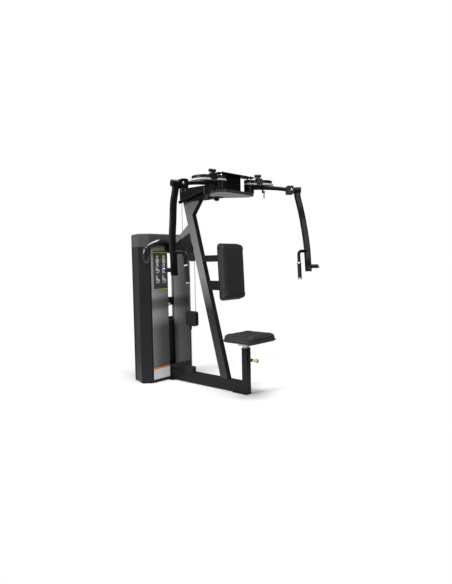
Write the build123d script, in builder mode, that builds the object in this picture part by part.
"""Standing fly and rear-shoulder machine: weight tower, leaning upright, overhead head and two hanging arms.

Millimetres, +Z up. The origin lies on the floor, in the plane of symmetry and of the tower's front.
-Y is where the seated person faces, +X is that person's left. Both arms are drawn at their rest
angles: the right arm a little behind the pivots, the left arm swung forward.
"""
from build123d import *
from math import cos, radians, sin
import os

os.makedirs("parts", exist_ok=True)

# Sides: the person's left is +X, the right is -X
LEFT, RIGHT = 1, -1
SIDE_NAMES = {LEFT: "left", RIGHT: "right"}

# Base beam, feet and seat post
WALL = 4
FOOT_H = 6
BEAM_W, BEAM_TOP = 56, 107
BEAM_REAR = 200
POST_FRONT, POST_REAR, POST_TOP = -992, -936, 404
POST_CAP_TOP = 409
SEAT_TUBE_W = 44
SEAT_PIN_Z = 306

# Leaning upright
UPRIGHT_W, UPRIGHT_DEPTH, UPRIGHT_TOP = 52, 88, 1745
LEAN = 0.2708
UPRIGHT_FRONT_AT_100 = -767.1

# Weight tower
TOWER_H, CAP_SEAM, KICK_TOP = 1452, 1327, 150
SHELL = 2.5
COLUMN_IN, CORNER_X, CORNER_R = 248, 268, 67
TOWER_SIDE = CORNER_X + CORNER_R
TOWER_BACK_X, TAPER_END_Y, TOWER_REAR = 285, 222, 245
SLOT_HALF, SLOT_TOP = 38, 1262
PANEL_T = 3

# Weight stack
ROD_X, STACK_Y, ROD_R = 130, 117.5, 14
STACK_BASE_TOP, STACK_BOTTOM = 125, 160
PLATE_W, PLATE_D, PLATE_H = 330, 105, 25
RESTING_PLATES, LIFTED_PLATES = 17, 2
LIFTED_BOTTOM = 739
HEAD_PLATE_BOTTOM = LIFTED_BOTTOM + LIFTED_PLATES * PLATE_H
CROSS_Z, CROSS_H = 1380, 20
REAR_COVER_TOP = 600
STEM_R, STEM_LENGTH = 12, 500

# Cable run: tower-top pulley, brace pulley and the guide in the boom's rear end
CABLE_R, PULLEY_R, PULLEY_FLANGE, PULLEY_W = 3, 40, 44, 22
TOP_PULLEY = (STACK_Y - PULLEY_R, 1310)
CABLE_LEVEL = TOP_PULLEY[1] + PULLEY_R
BRACE_PULLEY = (-148, CABLE_LEVEL + PULLEY_R)
VERTICAL_Y = BRACE_PULLEY[0] - PULLEY_R
GUIDE_PULLEY = (VERTICAL_Y - PULLEY_R, 1790)

# Rear bracket and brace between upright and tower
BRACKET_Z, BRACKET_TOP, BRACKET_W = 1276, 1343, 80
BRACE_W = 50

# Floating pulley block
BLOCK_Y, BLOCK_Z = (-363, -222), (555, 698)
FRONT_RUN_Y, REAR_RUN_Y, SHROUD_Z = -345, -272, 1200
ANCHOR_Y, COVER_TOP = -278, 156

# Boom, head housing and pan
BOOM_W, BOOM_Z, BOOM_TOP, BOOM_REAR, BOOM_FRONT = 100, 1745, 1866, -215, -700
HOUSING_W, HOUSING_TOP, HOUSING_FRONT = 200, 1911, -855
PAN_BOTTOM, PAN_FLOOR, PAN_TOP = 1752, 5, 1777
PAN_FRONT, PAN_WIDE_TO, PAN_REAR, PAN_HALF, PAN_REAR_HALF = -930, -810, -660, 235, 110
BOSS_TOP, BOSS_R = 1777, 30
LINK_T, NUT_R, NUT_H = 8, 22, 10

# Arms, in each arm's own frame: u outward from the pivot, v forward, z up
PIVOT_X, PIVOT_Y = 186.7, -875.3
ARM_ANGLE = {LEFT: 45.8, RIGHT: -14.6}
SHAFT_R, RUNNING = 15, 0.05
HUB_R, HUB_BOTTOM, HUB_TOP = 45, 1778, 1851
INDEX_BOTTOM, INDEX_TOP, CAM_TOP = 1852, 1865, 1894
ARM_Z = 1802
ARM_LINE = [(30, 1829, 20), (150, 1827, 19.5), (250, 1820, 18), (341, 1808, 17)]
BLOCK_HALF, BLOCK_ROUND = 38, 12
ELBOW_U, CHEEK_OUT, CHEEK_V, TONGUE_V = 381, 20, 32, 19
BOLT_R, EYE_R = 8, 18
PIN_U, PIN_V, PIN_R, PIN_HOUSING_R, PIN_HOUSING_TOP = 81, -6, 6, 24, 1914
APRON_U, APRON_V = (66, 118), (32, 46)
KNOB_TOP, KNOB_H, KNOB_L = 1947, 28, 60
LEVER_U, LEVER_V, LEVER_Z, LEVER_PIN_R, LEVER_BOTTOM = 140, -42, 1795, 4, 1740
SWING_W, SWING_T = 58, 30
SWING_LINE = [(436, -3, 1790), (460, 7, 1650), (477, 26, 1550), (491, 40, 1450),
              (503, 52, 1350), (509, 72, 1250), (512, 86, 1150), (514, 99, 1068)]
HANDLE_START, HANDLE_BEND, HANDLE_END = (500, 75, 1250), (425, 103, 1250), (426, 151, 1003)
HANDLE_R, GRIP_R, COLLAR_R = 14, 17.5, 20
PEG_START, PEG_V, PEG_Z = 505, 90, 1113

# Pads
SEAT_W, SEAT_REAR, SEAT_FRONT, SEAT_BOTTOM, SEAT_TOP = 370, -825, -1185, 470, 542
BACK_W, BACK_BOTTOM, BACK_TOP, BACK_T = 300, 817, 1330, 90
BACK_REAR_AT_BOTTOM, BACK_LEAN = -786, 0.045
BOARD_T = 14


def save(name, part):
    """Label a finished piece and write it."""
    part.label = name
    export_step(part, f"parts/{name}.step")


def box(part_x, part_y, part_z, mode=Mode.ADD):
    """A box from its lowest and highest x, y and z, for use inside a part."""
    (x0, x1), (y0, y1), (z0, z1) = part_x, part_y, part_z
    with Locations(((x0 + x1) / 2, (y0 + y1) / 2, (z0 + z1) / 2)):
        Box(x1 - x0, y1 - y0, z1 - z0, mode=mode)


def side_profile(points, x0, x1, mode=Mode.ADD):
    """A (y, z) outline extruded from x0 to x1, for use inside a part."""
    with BuildSketch(Plane.YZ.offset(x0)) as outline:
        with BuildLine():
            Polyline(*points, close=True)
        make_face()
    extrude(outline.sketch, amount=x1 - x0, mode=mode)


def plan_profile(points, z0, z1, mode=Mode.ADD):
    """An (x, y) outline extruded from z0 to z1, for use inside a part."""
    with BuildSketch(Plane.XY.offset(z0)) as outline:
        with BuildLine():
            Polyline(*points, close=True)
        make_face()
    extrude(outline.sketch, amount=z1 - z0, mode=mode)


def rod(start, end, radius, mode=Mode.ADD):
    """A round rod between two points, for use inside a part."""
    along = Vector(*end) - Vector(*start)
    with BuildSketch(Plane(origin=start, z_dir=along)) as section:
        Circle(radius)
    extrude(section.sketch, amount=along.length, mode=mode)


def upright_front(z):
    """Y of the leaning upright's front face at a height."""
    return UPRIGHT_FRONT_AT_100 + LEAN * (z - 100)


def upright_rear(z):
    """Y of the leaning upright's rear face at a height."""
    return upright_front(z) + UPRIGHT_DEPTH


# ---------------------------------------------------------------- base and seat post

def base_beam():
    half = BEAM_W / 2
    with BuildPart() as beam:
        box((-half, half), (POST_REAR, BEAM_REAR), (FOOT_H, BEAM_TOP))
        box((-half + WALL, half - WALL), (POST_REAR, BEAM_REAR), (FOOT_H + WALL, BEAM_TOP - WALL),
            mode=Mode.SUBTRACT)
    return beam.part


def feet():
    with BuildPart() as pads:
        box((-60, 60), (-60, 230), (0, FOOT_H))
        box((-COLUMN_IN - 35, COLUMN_IN + 35), (10, 230), (0, FOOT_H))
        box((-40, 40), (POST_FRONT, -830), (0, FOOT_H))
    return pads.part


def seat_post():
    half = BEAM_W / 2
    inner = half - WALL
    middle = (POST_FRONT + POST_REAR) / 2
    with BuildPart() as post:
        box((-half, half), (POST_FRONT, POST_REAR), (FOOT_H, POST_TOP))
        box((-inner, inner), (POST_FRONT + WALL, POST_REAR - WALL), (FOOT_H + WALL, POST_TOP),
            mode=Mode.SUBTRACT)
        rod((0, POST_FRONT - 1, SEAT_PIN_Z), (0, middle, SEAT_PIN_Z), 6.1, mode=Mode.SUBTRACT)
    return post.part


def seat_post_trim():
    """Moulded cap around the chrome tube, and the pull pin's barrel."""
    middle = (POST_FRONT + POST_REAR) / 2
    bore = SEAT_TUBE_W / 2 + 0.3
    with BuildPart() as trim:
        with BuildSketch(Plane.XY.offset(POST_TOP)):
            with Locations((0, middle)):
                RectangleRounded(62, 62, 6)
                Rectangle(2 * bore, 2 * bore, mode=Mode.SUBTRACT)
        extrude(amount=POST_CAP_TOP - POST_TOP)
        rod((0, POST_FRONT, SEAT_PIN_Z), (0, POST_FRONT - 48, SEAT_PIN_Z), 13)
        rod((0, POST_FRONT, SEAT_PIN_Z), (0, POST_FRONT - 48, SEAT_PIN_Z), 6.1, mode=Mode.SUBTRACT)
    return trim.part


def seat_pull_pin():
    """Its nose ends in the post's wall."""
    with BuildPart() as pin:
        rod((0, POST_FRONT + 3, SEAT_PIN_Z), (0, -1072, SEAT_PIN_Z), 6)
        rod((0, POST_FRONT - 49, SEAT_PIN_Z), (0, -1072, SEAT_PIN_Z), 9)
        rod((0, -1072, SEAT_PIN_Z), (0, -1096, SEAT_PIN_Z), 17)
        knob = pin.faces().sort_by(Axis.Y)[0]
        fillet(knob.edges(), 5)
    return pin.part


def seat_carriage():
    """Chrome inner tube and the plate under the seat pad."""
    middle = (POST_FRONT + POST_REAR) / 2
    half = SEAT_TUBE_W / 2
    with BuildPart() as carriage:
        box((-half, half), (middle - half, middle + half), (200, 433))
        box((-half + 3, half - 3), (middle - half + 3, middle + half - 3), (200, 430), mode=Mode.SUBTRACT)
        box((-55, 55), (middle - 60, middle + 50), (433, 439))
        box((-120, 120), (SEAT_FRONT + 60, SEAT_REAR - 50), (464, SEAT_BOTTOM))
        for x in (-50, 40):
            box((x, x + 10), (middle - 55, middle + 45), (439, 464))
    return carriage.part


def seat_pad():
    depth = SEAT_REAR - SEAT_FRONT
    with BuildPart() as pad:
        with BuildSketch(Plane.XY.offset(SEAT_BOTTOM)):
            with Locations((0, (SEAT_REAR + SEAT_FRONT) / 2)):
                RectangleRounded(SEAT_W, depth, 60)
        extrude(amount=SEAT_TOP - SEAT_BOTTOM)
        fillet(pad.faces().sort_by(Axis.Z)[-1].edges(), 18)
    return pad.part


# ---------------------------------------------------------------- upright, brace and bracket

def main_upright():
    """Leaning tube, closed at its top, with the gusset under the boom."""
    half = UPRIGHT_W / 2
    inner = half - WALL
    low, high = BEAM_TOP, UPRIGHT_TOP
    with BuildPart() as upright:
        side_profile([(upright_front(low), low), (upright_rear(low), low),
                      (upright_rear(high), high), (upright_front(high), high)], -half, half)
        gusset = [(upright_front(high), high), (-447, high), (-447, 1732), (upright_front(1617), 1617)]
        side_profile(gusset, -half, half)
        skin = WALL + 0.5
        side_profile([(upright_front(low) + skin, low), (upright_rear(low) - skin, low),
                      (upright_rear(high - WALL) - skin, high - WALL),
                      (upright_front(high - WALL) + skin, high - WALL)], -inner, inner, mode=Mode.SUBTRACT)
    return upright.part


def rear_brace():
    """Slanting tube, its pulley's cheeks and the webs that join it to the bracket."""
    half = BRACE_W / 2
    y, z = BRACE_PULLEY
    top = [(upright_rear(1527), 1527), (-200, 1455)]
    low = [(-200, 1350), (upright_rear(1447), 1447)]
    with BuildPart() as brace:
        side_profile(top + low, -half, half)
        side_profile([(-296, 1505), (-196, 1436), (-196, 1372), (-296, 1442)],
                     -half + WALL, half - WALL, mode=Mode.SUBTRACT)
        cheek = [(-200, 1455), (-136, 1407), (-96, 1392), (-96, BRACKET_TOP), (-200, BRACKET_TOP)]
        for x in (-half, half - 6):
            side_profile(cheek, x, x + 6)
        rod((-half - 8, y, z), (-half, y, z), 42)
        rod((half, y, z), (half + 8, y, z), 42)
        rod((-half, y, z), (half, y, z), 6)
        web = [(upright_rear(1344), 1344), (upright_rear(1447), 1447), (-200, 1350), (-200, 1344)]
        for x in (-half, half - 6):
            side_profile(web, x, x + 6)
    return brace.part


def tower_bracket():
    """Bar from the tower to the upright, with its flange on the tower's front."""
    half = BRACKET_W / 2
    middle = (BRACKET_Z + BRACKET_TOP) / 2
    bar = [(-6, BRACKET_Z), (-6, BRACKET_TOP), (upright_rear(BRACKET_TOP), BRACKET_TOP),
           (upright_rear(BRACKET_Z), BRACKET_Z)]
    lip = [(-6, middle - 3), (-6, middle + 3), (upright_rear(middle) - 6, middle + 3),
           (upright_rear(middle) - 6, middle - 3)]
    with BuildPart() as bracket:
        side_profile(bar, -half, half)
        for x in (-half - 3, half):
            side_profile(lip, x, x + 3)
        box((-70, 70), (-6, 0), (1288, BRACKET_TOP))
        box((-half + 5, half - 5), (-400, -12), (BRACKET_Z, BRACKET_TOP - 6), mode=Mode.SUBTRACT)
    return bracket.part


def pulley_covers():
    """Cable shroud behind the upright and the base pulley's cover on the beam."""
    outline = [(upright_rear(1275), 1275), (-262, 1275), (-262, SHROUD_Z), (-321, 1177),
               (upright_rear(1212), 1212)]
    with BuildPart() as covers:
        side_profile(outline, -22, 22)
        for y in (FRONT_RUN_Y, REAR_RUN_Y):
            rod((0, y, 1150), (0, y, 1230), CABLE_R + 2, mode=Mode.SUBTRACT)
        with BuildSketch(Plane.XY.offset(BEAM_TOP)):
            with Locations((0, -257)):
                RectangleRounded(BEAM_W, 120, 20)
        extrude(amount=COVER_TOP - BEAM_TOP)
        rod((0, ANCHOR_Y, BEAM_TOP + 10), (0, ANCHOR_Y, COVER_TOP), CABLE_R + 2, mode=Mode.SUBTRACT)
    return covers.part


# ---------------------------------------------------------------- weight tower

def tower_outline(side, inset=0):
    """Half plan of the tower's side column, from its front edge round to its rear edge."""
    x_in = side * (COLUMN_IN + inset)
    side_x = side * (TOWER_SIDE - inset)
    back_x = side * (TOWER_BACK_X - inset)
    Polyline((x_in, inset), (side * CORNER_X, inset), (side_x, CORNER_R), (side_x, CORNER_R + 15),
             (back_x, TAPER_END_Y), (back_x, TOWER_REAR - inset), (x_in, TOWER_REAR - inset),
             (x_in, inset))


def tower_column(side):
    """Hollow side column with a shallow groove down its widest line."""
    height = CAP_SEAM - FOOT_H
    with BuildPart() as column:
        with BuildSketch(Plane.XY.offset(FOOT_H)):
            with BuildLine():
                tower_outline(side)
            make_face()
        extrude(amount=height)
        groove_x = side * TOWER_SIDE
        box(sorted((groove_x - side * 2, groove_x + side)), (CORNER_R + 6, CORNER_R + 12),
            (FOOT_H, CAP_SEAM), mode=Mode.SUBTRACT)
        with BuildSketch(Plane.XY.offset(FOOT_H)):
            with BuildLine():
                tower_outline(side, inset=2 * SHELL)
            make_face()
        extrude(amount=height, mode=Mode.SUBTRACT)
    return column.part


def tower_rear_cover():
    """Guard behind the resting stack; the tower's rear is open above it."""
    with BuildPart() as cover:
        box((-COLUMN_IN, COLUMN_IN), (TOWER_REAR - PANEL_T, TOWER_REAR), (FOOT_H, REAR_COVER_TOP))
    return cover.part


def kick_panel():
    half = BEAM_W / 2 + 1
    with BuildPart() as panel:
        box((-COLUMN_IN, COLUMN_IN), (0, PANEL_T), (FOOT_H, KICK_TOP))
        box((-half, half), (-1, PANEL_T + 1), (0, BEAM_TOP + 1), mode=Mode.SUBTRACT)
    return panel.part


def front_panels():
    """Two flat panels with the pin slot between them, closed at the top by a bridge."""
    with BuildPart() as panels:
        box((-COLUMN_IN, COLUMN_IN), (0, PANEL_T), (KICK_TOP, CAP_SEAM))
        box((-SLOT_HALF, SLOT_HALF), (-1, PANEL_T + 1), (KICK_TOP - 1, SLOT_TOP), mode=Mode.SUBTRACT)
    return panels.part


def tower_cap():
    """Moulded cap, hollow underneath, with the cable's hole in its front."""
    with BuildPart() as cap:
        with BuildSketch(Plane.XY.offset(CAP_SEAM)):
            with BuildLine():
                tower_outline(LEFT)
            make_face()
            with BuildLine():
                tower_outline(RIGHT)
            make_face()
            with Locations((0, TOWER_REAR / 2)):
                Rectangle(2 * COLUMN_IN + 2, TOWER_REAR)
        extrude(amount=TOWER_H - CAP_SEAM)
        fillet(cap.faces().sort_by(Axis.Z)[-1].edges(), 14)
        box((-COLUMN_IN, COLUMN_IN), (WALL, TOWER_REAR - WALL), (CAP_SEAM, TOWER_H - 3 * WALL),
            mode=Mode.SUBTRACT)
        rod((0, -1, CABLE_LEVEL), (0, WALL + 1, CABLE_LEVEL), 10, mode=Mode.SUBTRACT)
    return cap.part


def front_plates():
    """Blank instruction placard and caution plate."""
    with BuildPart() as plates:
        box((-218, -40), (-1.5, 0), (903, 1285))
        box((-248, -40), (-1, 0), (31, 148))
    return plates.part


def accessory_holder():
    """Bottle ring and the swept tray beside it, on the tower's front."""
    with BuildPart() as holder:
        with BuildSketch(Plane.XZ):
            with BuildLine():
                top = Spline((-290, 1338), (-240, 1380), (-165, 1400), (-75, 1393), (-10, 1368))
                low = Spline((-10, 1348), (-90, 1345), (-170, 1318), (-250, 1308), (-290, 1316))
                Line(top @ 1, low @ 0)
                Line(low @ 1, top @ 0)
            make_face()
        extrude(amount=62)
        with BuildSketch(Plane.XZ):
            with Locations((-318, 1243)):
                Ellipse(38, 84)
                Ellipse(23, 64, mode=Mode.SUBTRACT)
        extrude(amount=34)
        side_x = sorted((-318, -286))
        box(side_x, (-34, 0), (1308, 1336))
    return holder.part


# ---------------------------------------------------------------- weight stack

def stack_base():
    with BuildPart() as base:
        box((-COLUMN_IN, COLUMN_IN), (60, 175), (BEAM_TOP, STACK_BASE_TOP))
    return base.part


def top_crossmember():
    """Bar that holds the guide rods' tops and the tower-top pulley's fork."""
    y, z = TOP_PULLEY
    with BuildPart() as cross:
        box((-COLUMN_IN, COLUMN_IN), (60, 155), (CROSS_Z, CROSS_Z + CROSS_H))
        for x in (-PULLEY_W / 2 - 7, PULLEY_W / 2 + 2):
            box((x, x + 5), (y - 18, y + 18), (z - 18, CROSS_Z))
        rod((-PULLEY_W / 2 - 7, y, z), (PULLEY_W / 2 + 7, y, z), 6)
        for x in (-COLUMN_IN, COLUMN_IN - 6):
            box((x, x + 6), (60, 155), (CAP_SEAM, CROSS_Z))
    return cross.part


def stack_bumpers():
    with BuildPart() as bumpers:
        with BuildSketch(Plane.XY.offset(STACK_BASE_TOP)):
            with Locations((-ROD_X, STACK_Y), (ROD_X, STACK_Y)):
                Circle(30)
                Circle(ROD_R + 0.3, mode=Mode.SUBTRACT)
        extrude(amount=STACK_BOTTOM - STACK_BASE_TOP)
    return bumpers.part


def guide_rods():
    with BuildPart() as rods:
        with BuildSketch(Plane.XY.offset(STACK_BASE_TOP)):
            with Locations((-ROD_X, STACK_Y), (ROD_X, STACK_Y)):
                Circle(ROD_R)
        extrude(amount=CROSS_Z - STACK_BASE_TOP)
    return rods.part


def plate_stack(bottom, count):
    """Separate weight plates, each bored for the rods, the stem and the selector pin."""
    front = STACK_Y - PLATE_D / 2
    gap = 0.6
    with BuildPart() as plates:
        for i in range(count):
            with BuildSketch(Plane.XY.offset(bottom + i * PLATE_H)):
                with Locations((0, STACK_Y)):
                    Rectangle(PLATE_W, PLATE_D)
                with Locations((-ROD_X, STACK_Y), (ROD_X, STACK_Y)):
                    Circle(ROD_R + 1, mode=Mode.SUBTRACT)
                with Locations((0, STACK_Y)):
                    Circle(STEM_R + 1, mode=Mode.SUBTRACT)
            extrude(amount=PLATE_H - gap)
        for i in range(count):
            z = bottom + (i + 0.5) * PLATE_H
            rod((0, front - 1, z), (0, STACK_Y, z), 5.5, mode=Mode.SUBTRACT)
    return plates.part


def head_plate():
    """Top plate of the stack with its drilled stem and the cable's end fitting."""
    with BuildPart() as head:
        with BuildSketch(Plane.XY.offset(HEAD_PLATE_BOTTOM)):
            with Locations((0, STACK_Y)):
                Rectangle(PLATE_W, PLATE_D)
            with Locations((-ROD_X, STACK_Y), (ROD_X, STACK_Y)):
                Circle(ROD_R + 0.5, mode=Mode.SUBTRACT)
        extrude(amount=PLATE_H)
        top = HEAD_PLATE_BOTTOM + PLATE_H
        rod((0, STACK_Y, top), (0, STACK_Y, top + 30), 16)
        rod((0, STACK_Y, HEAD_PLATE_BOTTOM - STEM_LENGTH), (0, STACK_Y, HEAD_PLATE_BOTTOM), STEM_R)
        for i in range(19):
            z = HEAD_PLATE_BOTTOM - (i + 0.5) * PLATE_H
            rod((0, STACK_Y - STEM_R - 1, z), (0, STACK_Y + STEM_R + 1, z), 5.2, mode=Mode.SUBTRACT)
    return head.part


def selector_pin():
    """Pin through the lowest lifted plate, with its round knob in the tower's slot."""
    z = LIFTED_BOTTOM + PLATE_H / 2
    with BuildPart() as pin:
        rod((0, 40, z), (0, STACK_Y + 10, z), 5)
        rod((0, 26, z), (0, 44, z), 16)
        fillet(pin.faces().sort_by(Axis.Y)[0].edges(), 5)
    return pin.part


# ---------------------------------------------------------------- pulleys and cables

def pulley(y, z):
    """Grooved pulley on an axis along X."""
    half = PULLEY_W / 2
    with BuildPart() as wheel:
        with BuildSketch(Plane.XZ.offset(-y)):
            with BuildLine():
                Polyline((-half, z + 6.05), (half, z + 6.05), (half, z + PULLEY_FLANGE),
                         (4, z + PULLEY_R - CABLE_R - 0.3), (-4, z + PULLEY_R - CABLE_R - 0.3),
                         (-half, z + PULLEY_FLANGE), close=True)
            make_face()
        revolve(axis=Axis((0, y, z), (1, 0, 0)))
    return wheel.part


def lift_cable():
    """From the boom over its rear guide, down to the brace pulley and over the tower-top pulley."""
    guide_top = GUIDE_PULLEY[1] + PULLEY_R
    points = [(0, BOOM_FRONT - 4, guide_top), (0, VERTICAL_Y, guide_top), (0, VERTICAL_Y, CABLE_LEVEL),
              (0, STACK_Y, CABLE_LEVEL), (0, STACK_Y, TOP_PULLEY[1] - 0.5)]
    with BuildPart() as cable:
        with BuildLine():
            route = FilletPolyline(*points, radius=PULLEY_R)
        with BuildSketch(Plane(origin=points[0], z_dir=(0, 1, 0))):
            Circle(CABLE_R)
        sweep(path=route)
    print("lift cable: arc radius", PULLEY_R, "length", round(route.length))
    return cable.part


def stack_cable():
    """Run from the tower-top pulley down to the head plate; it shortens as the stack rises."""
    with BuildPart() as cable:
        rod((0, STACK_Y, HEAD_PLATE_BOTTOM + PLATE_H + 30), (0, STACK_Y, TOP_PULLEY[1] - 0.5), CABLE_R)
    return cable.part


def floating_block():
    """Two cheeks, the sheave between them and the bottom fitting."""
    (y0, y1), (z0, z1) = BLOCK_Y, BLOCK_Z
    middle_y, middle_z = (y0 + y1) / 2, (z0 + z1) / 2
    with BuildPart() as block:
        for x in (-18, 12):
            with BuildSketch(Plane.YZ.offset(x)):
                with Locations((middle_y, middle_z)):
                    RectangleRounded(y1 - y0, z1 - z0, 26)
            extrude(amount=6)
        sheave_y = (FRONT_RUN_Y + REAR_RUN_Y) / 2
        sheave_r = (REAR_RUN_Y - FRONT_RUN_Y) / 2 - CABLE_R - 2
        rod((-12, sheave_y, middle_z), (12, sheave_y, middle_z), sheave_r)
        box((-12, 12), (ANCHOR_Y - 14, ANCHOR_Y + 14), (z0, z0 + 20))
        rod((0, ANCHOR_Y, z0 - 34), (0, ANCHOR_Y, z0), 9)
    return block.part


def block_cables():
    """The two runs from the shroud down to the floating block; they follow its travel."""
    with BuildPart() as cables:
        for y in (FRONT_RUN_Y, REAR_RUN_Y):
            rod((0, y, BLOCK_Z[0] + 80), (0, y, 1229), CABLE_R)
    return cables.part


def anchor_cable():
    """From the block's bottom fitting into the base pulley's cover."""
    with BuildPart() as cable:
        rod((0, ANCHOR_Y, BEAM_TOP + 11), (0, ANCHOR_Y, BLOCK_Z[0] - 34), CABLE_R)
    return cable.part


# ---------------------------------------------------------------- overhead head

def boom():
    """Box tube with the fixed curved cable guide in its rear end."""
    half = BOOM_W / 2
    inner = half - 5
    y, z = GUIDE_PULLEY
    groove = PULLEY_R - CABLE_R - 0.3
    with BuildPart() as tube:
        box((-half, half), (BOOM_FRONT, BOOM_REAR), (BOOM_Z, BOOM_TOP))
        box((-inner, inner), (BOOM_FRONT, BOOM_REAR), (BOOM_Z + 5, BOOM_TOP - 5), mode=Mode.SUBTRACT)
        with BuildSketch(Plane.XZ.offset(-y)):
            with BuildLine():
                Polyline((-inner, z), (inner, z), (inner, z + 8), (11, z + 8), (11, z + PULLEY_R + 1),
                         (4, z + groove), (-4, z + groove), (-11, z + PULLEY_R + 1), (-11, z + 8),
                         (-inner, z + 8), close=True)
            make_face()
        revolve(axis=Axis((0, y, z), (1, 0, 0)))
    return tube.part


def diagonal_bars():
    """Round stays along the boom's sides, domed at their rear ends."""
    x = BOOM_W / 2 + 15
    with BuildPart() as bars:
        for side in (LEFT, RIGHT):
            rod((side * x, -227, 1739), (side * x, -555, 1817), 15)
    return bars.part


def boom_bumpers():
    """Round rubber stops on the boom's sides, behind the pan."""
    with BuildPart() as stops:
        for side in (LEFT, RIGHT):
            rod((side * BOOM_W / 2, -590, 1752), (side * (BOOM_W / 2 + 25), -590, 1752), 24)
    return stops.part


def head_housing():
    half = HOUSING_W / 2
    floor = PAN_BOTTOM + PAN_FLOOR
    with BuildPart() as housing:
        box((-half, half), (HOUSING_FRONT, BOOM_FRONT), (floor, HOUSING_TOP))
        fillet(housing.edges().filter_by(Axis.Z), 8)
        box((-half + 5, half - 5), (HOUSING_FRONT + 5, BOOM_FRONT - 5), (floor, HOUSING_TOP - 5),
            mode=Mode.SUBTRACT)
        rod((0, BOOM_FRONT - 10, GUIDE_PULLEY[1] + PULLEY_R), (0, BOOM_FRONT + 1,
            GUIDE_PULLEY[1] + PULLEY_R), 8, mode=Mode.SUBTRACT)
    return housing.part


def head_pan():
    """Shallow tray under the head, with a boss for each pivot shaft."""
    outline = [(-PAN_HALF + 50, PAN_FRONT), (PAN_HALF - 50, PAN_FRONT), (PAN_HALF, PAN_FRONT + 50),
               (PAN_HALF, PAN_WIDE_TO), (PAN_REAR_HALF, PAN_REAR), (-PAN_REAR_HALF, PAN_REAR),
               (-PAN_HALF, PAN_WIDE_TO), (-PAN_HALF, PAN_FRONT + 50)]
    with BuildPart() as pan:
        plan_profile(outline, PAN_BOTTOM, PAN_TOP)
        fillet(pan.edges().filter_by(Axis.Z), 25)
        with BuildSketch(Plane.XY.offset(PAN_BOTTOM + PAN_FLOOR)):
            with BuildLine():
                Polyline(*outline, close=True)
            make_face()
            offset(amount=-4, kind=Kind.INTERSECTION)
        extrude(amount=PAN_TOP - PAN_BOTTOM, mode=Mode.SUBTRACT)
        for side in (LEFT, RIGHT):
            rod((side * PIVOT_X, PIVOT_Y, PAN_BOTTOM), (side * PIVOT_X, PIVOT_Y, BOSS_TOP), BOSS_R)
        half = BOOM_W / 2 + 1
        box((-half, half), (BOOM_FRONT - 1, PAN_REAR + 1), (PAN_BOTTOM - 1, PAN_TOP + 1), mode=Mode.SUBTRACT)
    return pan.part


def pivot_shafts():
    """Upright shafts with the nuts over the link plate."""
    with BuildPart() as shafts:
        for side in (LEFT, RIGHT):
            x = side * PIVOT_X
            top = HOUSING_TOP + LINK_T
            rod((x, PIVOT_Y, BOSS_TOP), (x, PIVOT_Y, top), SHAFT_R)
            rod((x, PIVOT_Y, top), (x, PIVOT_Y, top + NUT_H), NUT_R)
    return shafts.part


def link_plate():
    """Plate across the housing's top that ties the two shafts together."""
    with BuildPart() as plate:
        with BuildSketch(Plane.XY.offset(HOUSING_TOP)):
            with Locations((0, PIVOT_Y)):
                SlotCenterToCenter(2 * PIVOT_X, 2 * (HUB_R + 2))
            with Locations((-PIVOT_X, PIVOT_Y), (PIVOT_X, PIVOT_Y)):
                Circle(SHAFT_R + RUNNING, mode=Mode.SUBTRACT)
        extrude(amount=LINK_T)
    return plate.part


# ---------------------------------------------------------------- back pad

def pad_rear(z):
    """Y of the back pad's nearly upright rear face at a height."""
    return BACK_REAR_AT_BOTTOM + BACK_LEAN * (z - BACK_BOTTOM)


def back_pad():
    heel = BACK_BOTTOM + 12
    outline = [(pad_rear(heel), heel), (pad_rear(BACK_TOP), BACK_TOP),
               (pad_rear(BACK_TOP) - BACK_T, BACK_TOP), (pad_rear(BACK_BOTTOM) - BACK_T, BACK_BOTTOM)]
    with BuildPart() as pad:
        side_profile(outline, -BACK_W / 2, BACK_W / 2)
        fillet(pad.faces().sort_by(Axis.Y)[0].edges(), 22)
    return pad.part


def back_pad_bracket():
    """Box arms from the upright and the board that the pad is screwed to."""
    low, high = 860, 1290
    board = [(pad_rear(low), low), (pad_rear(low) + BOARD_T, low),
             (pad_rear(high) + BOARD_T, high), (pad_rear(high), high)]
    with BuildPart() as bracket:
        side_profile(board, -120, 120)
        for z0, z1 in ((910, 995), (1170, 1230)):
            arm = [(upright_front(z0), z0), (upright_front(z1), z1), (pad_rear(z1) + BOARD_T, z1),
                   (pad_rear(z0) + BOARD_T, z0)]
            side_profile(arm, -20, 20)
    return bracket.part


# ---------------------------------------------------------------- arms

def out_dir(side):
    """Direction from the pivot along the arm."""
    angle = radians(ARM_ANGLE[side])
    return Vector(side * cos(angle), -sin(angle), 0)


def forward_dir(side):
    """Direction square to the arm, the way it swings forward."""
    angle = radians(ARM_ANGLE[side])
    return Vector(-side * sin(angle), -cos(angle), 0)


def at(side, u, v, z):
    """A point given in an arm's own frame."""
    return Vector(side * PIVOT_X, PIVOT_Y, z) + out_dir(side) * u + forward_dir(side) * v


def arm_plane(side, z):
    """Level plane at the pivot, with its x axis along the arm and its y axis along -side * v."""
    return Plane(origin=(side * PIVOT_X, PIVOT_Y, z), x_dir=out_dir(side), z_dir=(0, 0, 1))


def arm_box(side, u, v, z, mode=Mode.ADD):
    """A box from its lowest and highest u, v and z, for use inside a part."""
    v0, v1 = sorted((-side * v[0], -side * v[1]))
    with BuildSketch(arm_plane(side, z[0])) as section:
        with Locations(((u[0] + u[1]) / 2, (v0 + v1) / 2)):
            Rectangle(u[1] - u[0], v1 - v0)
    extrude(section.sketch, amount=z[1] - z[0], mode=mode)


def arm_rod(side, start, end, radius, mode=Mode.ADD):
    rod(tuple(at(side, *start)), tuple(at(side, *end)), radius, mode)


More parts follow.
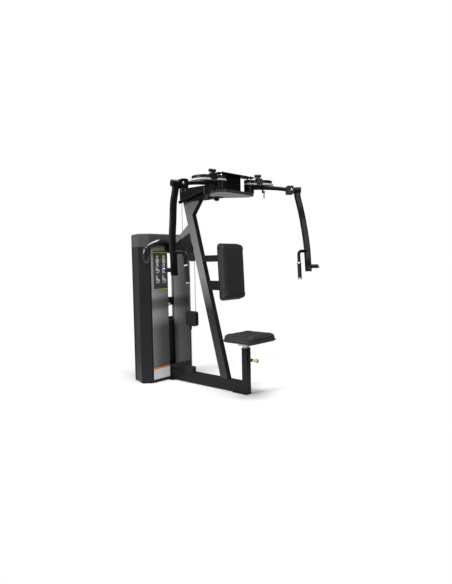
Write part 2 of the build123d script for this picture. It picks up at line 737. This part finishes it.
def sector(side, z, height, trim):
    """One layer of the cam plate: largest behind the arm, falling away in front of it."""
    rim = [(-75, 268), (-45, 268), (-18, 244), (3, 186), (15, 110), (30, 68), (60, 60)]
    points = []
    for angle, radius in rim:
        reach = radius - trim
        points.append((reach * cos(radians(angle)), -side * reach * sin(radians(angle))))
    with BuildSketch(arm_plane(side, z)) as layer:
        with BuildLine():
            edge = Spline(*points)
            Polyline(edge @ 1, (0, 0), edge @ 0)
        make_face()
        Circle(HUB_R)
    extrude(layer.sketch, amount=height)


def cam_bores(side, z, height):
    """Holes for the pivot shaft and the pull pin's plunger."""
    with BuildSketch(arm_plane(side, z)) as holes:
        Circle(SHAFT_R + RUNNING)
        with Locations((PIN_U, -side * PIN_V)):
            Circle(PIN_R + RUNNING)
    extrude(holes.sketch, amount=height, mode=Mode.SUBTRACT)


def index_plate(side):
    with BuildPart() as plate:
        sector(side, INDEX_BOTTOM, INDEX_TOP - INDEX_BOTTOM, trim=0)
        cam_bores(side, INDEX_BOTTOM, INDEX_TOP - INDEX_BOTTOM)
    return plate.part


def cam(side):
    """Cable cam on the index plate, grooved round its edge, with the pull pin's housing and apron."""
    layer = (CAM_TOP - INDEX_TOP) / 3
    with BuildPart() as disc:
        for i, trim in enumerate((14, 22, 14)):
            sector(side, INDEX_TOP + i * layer, layer, trim)
        arm_rod(side, (PIN_U, PIN_V, CAM_TOP), (PIN_U, PIN_V, PIN_HOUSING_TOP), PIN_HOUSING_R)
        arm_box(side, APRON_U, (PIN_V, APRON_V[1]), (CAM_TOP - 1, CAM_TOP + 9))
        arm_box(side, APRON_U, APRON_V, (INDEX_BOTTOM, CAM_TOP + 9))
        cam_bores(side, INDEX_TOP, PIN_HOUSING_TOP - INDEX_TOP)
    return disc.part


def pull_pin(side):
    """Plunger with a T-shaped knob."""
    low = KNOB_TOP - KNOB_H
    with BuildPart() as pin:
        arm_rod(side, (PIN_U, PIN_V, INDEX_BOTTOM + 1), (PIN_U, PIN_V, low), PIN_R)
        ends = [(PIN_U - KNOB_L / 2, PIN_V, low + KNOB_H / 2), (PIN_U + KNOB_L / 2, PIN_V, low + KNOB_H / 2)]
        arm_rod(side, *ends, KNOB_H / 2)
        arm_rod(side, (PIN_U, PIN_V, PIN_HOUSING_TOP + 1), (PIN_U, PIN_V, low + 6), 11)
    return pin.part


def arm(side):
    """Hub, tapered tube, the elbow's fork with its bolt, and the lug for the release lever."""
    half = BLOCK_HALF
    fork = ELBOW_U - EYE_R - 2
    with BuildPart() as tube:
        arm_box(side, (fork - 26, ELBOW_U + CHEEK_OUT), (-CHEEK_V, CHEEK_V), (ARM_Z - half, ARM_Z + half))
        fillet(tube.edges().filter_by(Axis((0, 0, 0), forward_dir(side))), BLOCK_ROUND)
        for u, z, radius in ARM_LINE:
            with BuildSketch(Plane(origin=at(side, u, 0, z), z_dir=out_dir(side))):
                Circle(radius)
        loft()
        with BuildSketch(arm_plane(side, HUB_BOTTOM)):
            Circle(HUB_R)
        extrude(amount=HUB_TOP - HUB_BOTTOM)
        arm_box(side, (fork, ELBOW_U + CHEEK_OUT + 1), (-TONGUE_V - 0.3, TONGUE_V + 0.3),
                (ARM_Z - half, ARM_Z + half), mode=Mode.SUBTRACT)
        arm_rod(side, (ELBOW_U, -CHEEK_V - 8, ARM_Z), (ELBOW_U, CHEEK_V + 8, ARM_Z), BOLT_R)
        for v in (-CHEEK_V - 9, CHEEK_V):
            arm_rod(side, (ELBOW_U, v, ARM_Z), (ELBOW_U, v + 9, ARM_Z), 14)
        arm_box(side, (LEVER_U - 19, LEVER_U - 8), (LEVER_V - 9, -5), (LEVER_Z - 10, LEVER_Z + 30))
        arm_rod(side, (LEVER_U - 10, LEVER_V, LEVER_Z), (LEVER_U + 11, LEVER_V, LEVER_Z), LEVER_PIN_R)
        with BuildSketch(arm_plane(side, HUB_BOTTOM)):
            Circle(SHAFT_R + RUNNING)
        extrude(amount=HUB_TOP - HUB_BOTTOM, mode=Mode.SUBTRACT)
    return tube.part


def release_lever(side):
    """Chrome lever that hangs from the lug behind the arm."""
    u0, u1 = LEVER_U - 7, LEVER_U + 8
    with BuildPart() as lever:
        arm_rod(side, (u0, LEVER_V, LEVER_Z), (u1, LEVER_V, LEVER_Z), 9)
        arm_box(side, (u0 + 2, u1 - 2), (LEVER_V - 4, LEVER_V + 4), (LEVER_BOTTOM, LEVER_Z))
        arm_rod(side, (u0, LEVER_V, LEVER_Z), (u1, LEVER_V, LEVER_Z), LEVER_PIN_R + RUNNING,
                mode=Mode.SUBTRACT)
    return lever.part


def handle_point(length):
    """Point of the handle's straight lower leg, in the arm's frame, at a length below its bend."""
    start, end = Vector(*HANDLE_BEND), Vector(*HANDLE_END)
    return tuple(start + (end - start).normalized() * length)


def swing_arm(side):
    """Elbow eye and stub, the flattened hanging tube, the handle's bent tube and the rear peg's."""
    with BuildPart() as swing:
        for u, v, z in SWING_LINE:
            with BuildSketch(arm_plane(side, z)):
                with Locations((u, -side * v)):
                    RectangleRounded(SWING_W, SWING_T, 12)
        loft()
        stub_u = ELBOW_U + CHEEK_OUT + 11
        arm_rod(side, (stub_u, -3, ARM_Z), (469, -3, ARM_Z), 28)
        arm_rod(side, (ELBOW_U, -TONGUE_V, ARM_Z), (ELBOW_U, TONGUE_V, ARM_Z), EYE_R)
        arm_box(side, (ELBOW_U, stub_u + 10), (-TONGUE_V, TONGUE_V), (ARM_Z - EYE_R, ARM_Z + EYE_R))
        arm_rod(side, (ELBOW_U, -TONGUE_V, ARM_Z), (ELBOW_U, TONGUE_V, ARM_Z), BOLT_R + RUNNING,
                mode=Mode.SUBTRACT)
        arm_rod(side, (PEG_START, PEG_V, PEG_Z), (545, PEG_V, PEG_Z), HANDLE_R)
        route = [at(side, *HANDLE_START), at(side, *HANDLE_BEND), at(side, *handle_point(103))]
        with BuildLine() as path:
            FilletPolyline(*route, radius=32)
        with BuildSketch(Plane(origin=route[0], z_dir=route[1] - route[0])):
            Circle(HANDLE_R)
        sweep(path=path.line)
    return swing.part


def grips(side):
    """Rubber sleeves of the hanging handle and of the rear peg."""
    with BuildPart() as sleeves:
        arm_rod(side, handle_point(113), handle_point(243), GRIP_R)
        arm_rod(side, (545, PEG_V, PEG_Z), (602, PEG_V, PEG_Z), GRIP_R)
    return sleeves.part


def grip_rings(side):
    """Polished collar and end caps of the grips."""
    with BuildPart() as rings:
        arm_rod(side, handle_point(103), handle_point(113), COLLAR_R)
        arm_rod(side, handle_point(243), handle_point(252), GRIP_R + 1)
        arm_rod(side, (602, PEG_V, PEG_Z), (611, PEG_V, PEG_Z), GRIP_R + 1)
    return rings.part


# ---------------------------------------------------------------- fasteners

def frame_bolts():
    """Hexagon bolt heads on the bracket, the boom's foot and the housing."""
    with BuildPart() as bolts:
        for y, z in ((-60, 1293), (-60, 1326), (-300, 1293)):
            for x in (-BRACKET_W / 2 - 7, BRACKET_W / 2):
                with BuildSketch(Plane.YZ.offset(x)):
                    with Locations((y, z)):
                        RegularPolygon(9, 6)
                extrude(amount=7)
        for y in (-245, -300):
            for x in (-BOOM_W / 2 - 7, BOOM_W / 2):
                with BuildSketch(Plane.YZ.offset(x)):
                    with Locations((y, 1845)):
                        RegularPolygon(10, 6)
                extrude(amount=7)
    return bolts.part


SINGLE = [base_beam, feet, seat_post, seat_post_trim, seat_pull_pin, seat_carriage, seat_pad,
          main_upright, rear_brace, tower_bracket, pulley_covers, tower_rear_cover,
          kick_panel, front_panels, tower_cap, front_plates, accessory_holder, stack_base,
          top_crossmember, stack_bumpers, guide_rods, head_plate, selector_pin, lift_cable,
          stack_cable, floating_block, block_cables, anchor_cable, boom, diagonal_bars,
          boom_bumpers, head_housing, head_pan, pivot_shafts, link_plate, back_pad, back_pad_bracket,
          frame_bolts]
for make in SINGLE:
    save(make.__name__, make())

save("weight_plates", plate_stack(STACK_BOTTOM, RESTING_PLATES))
save("lifted_plates", plate_stack(LIFTED_BOTTOM, LIFTED_PLATES))
save("top_pulley", pulley(*TOP_PULLEY))
save("brace_pulley", pulley(*BRACE_PULLEY))

PAIRED = [tower_column, index_plate, cam, pull_pin, arm, release_lever, swing_arm, grips, grip_rings]
for side, side_name in SIDE_NAMES.items():
    for make in PAIRED:
        save(f"{side_name}_{make.__name__}", make(side))
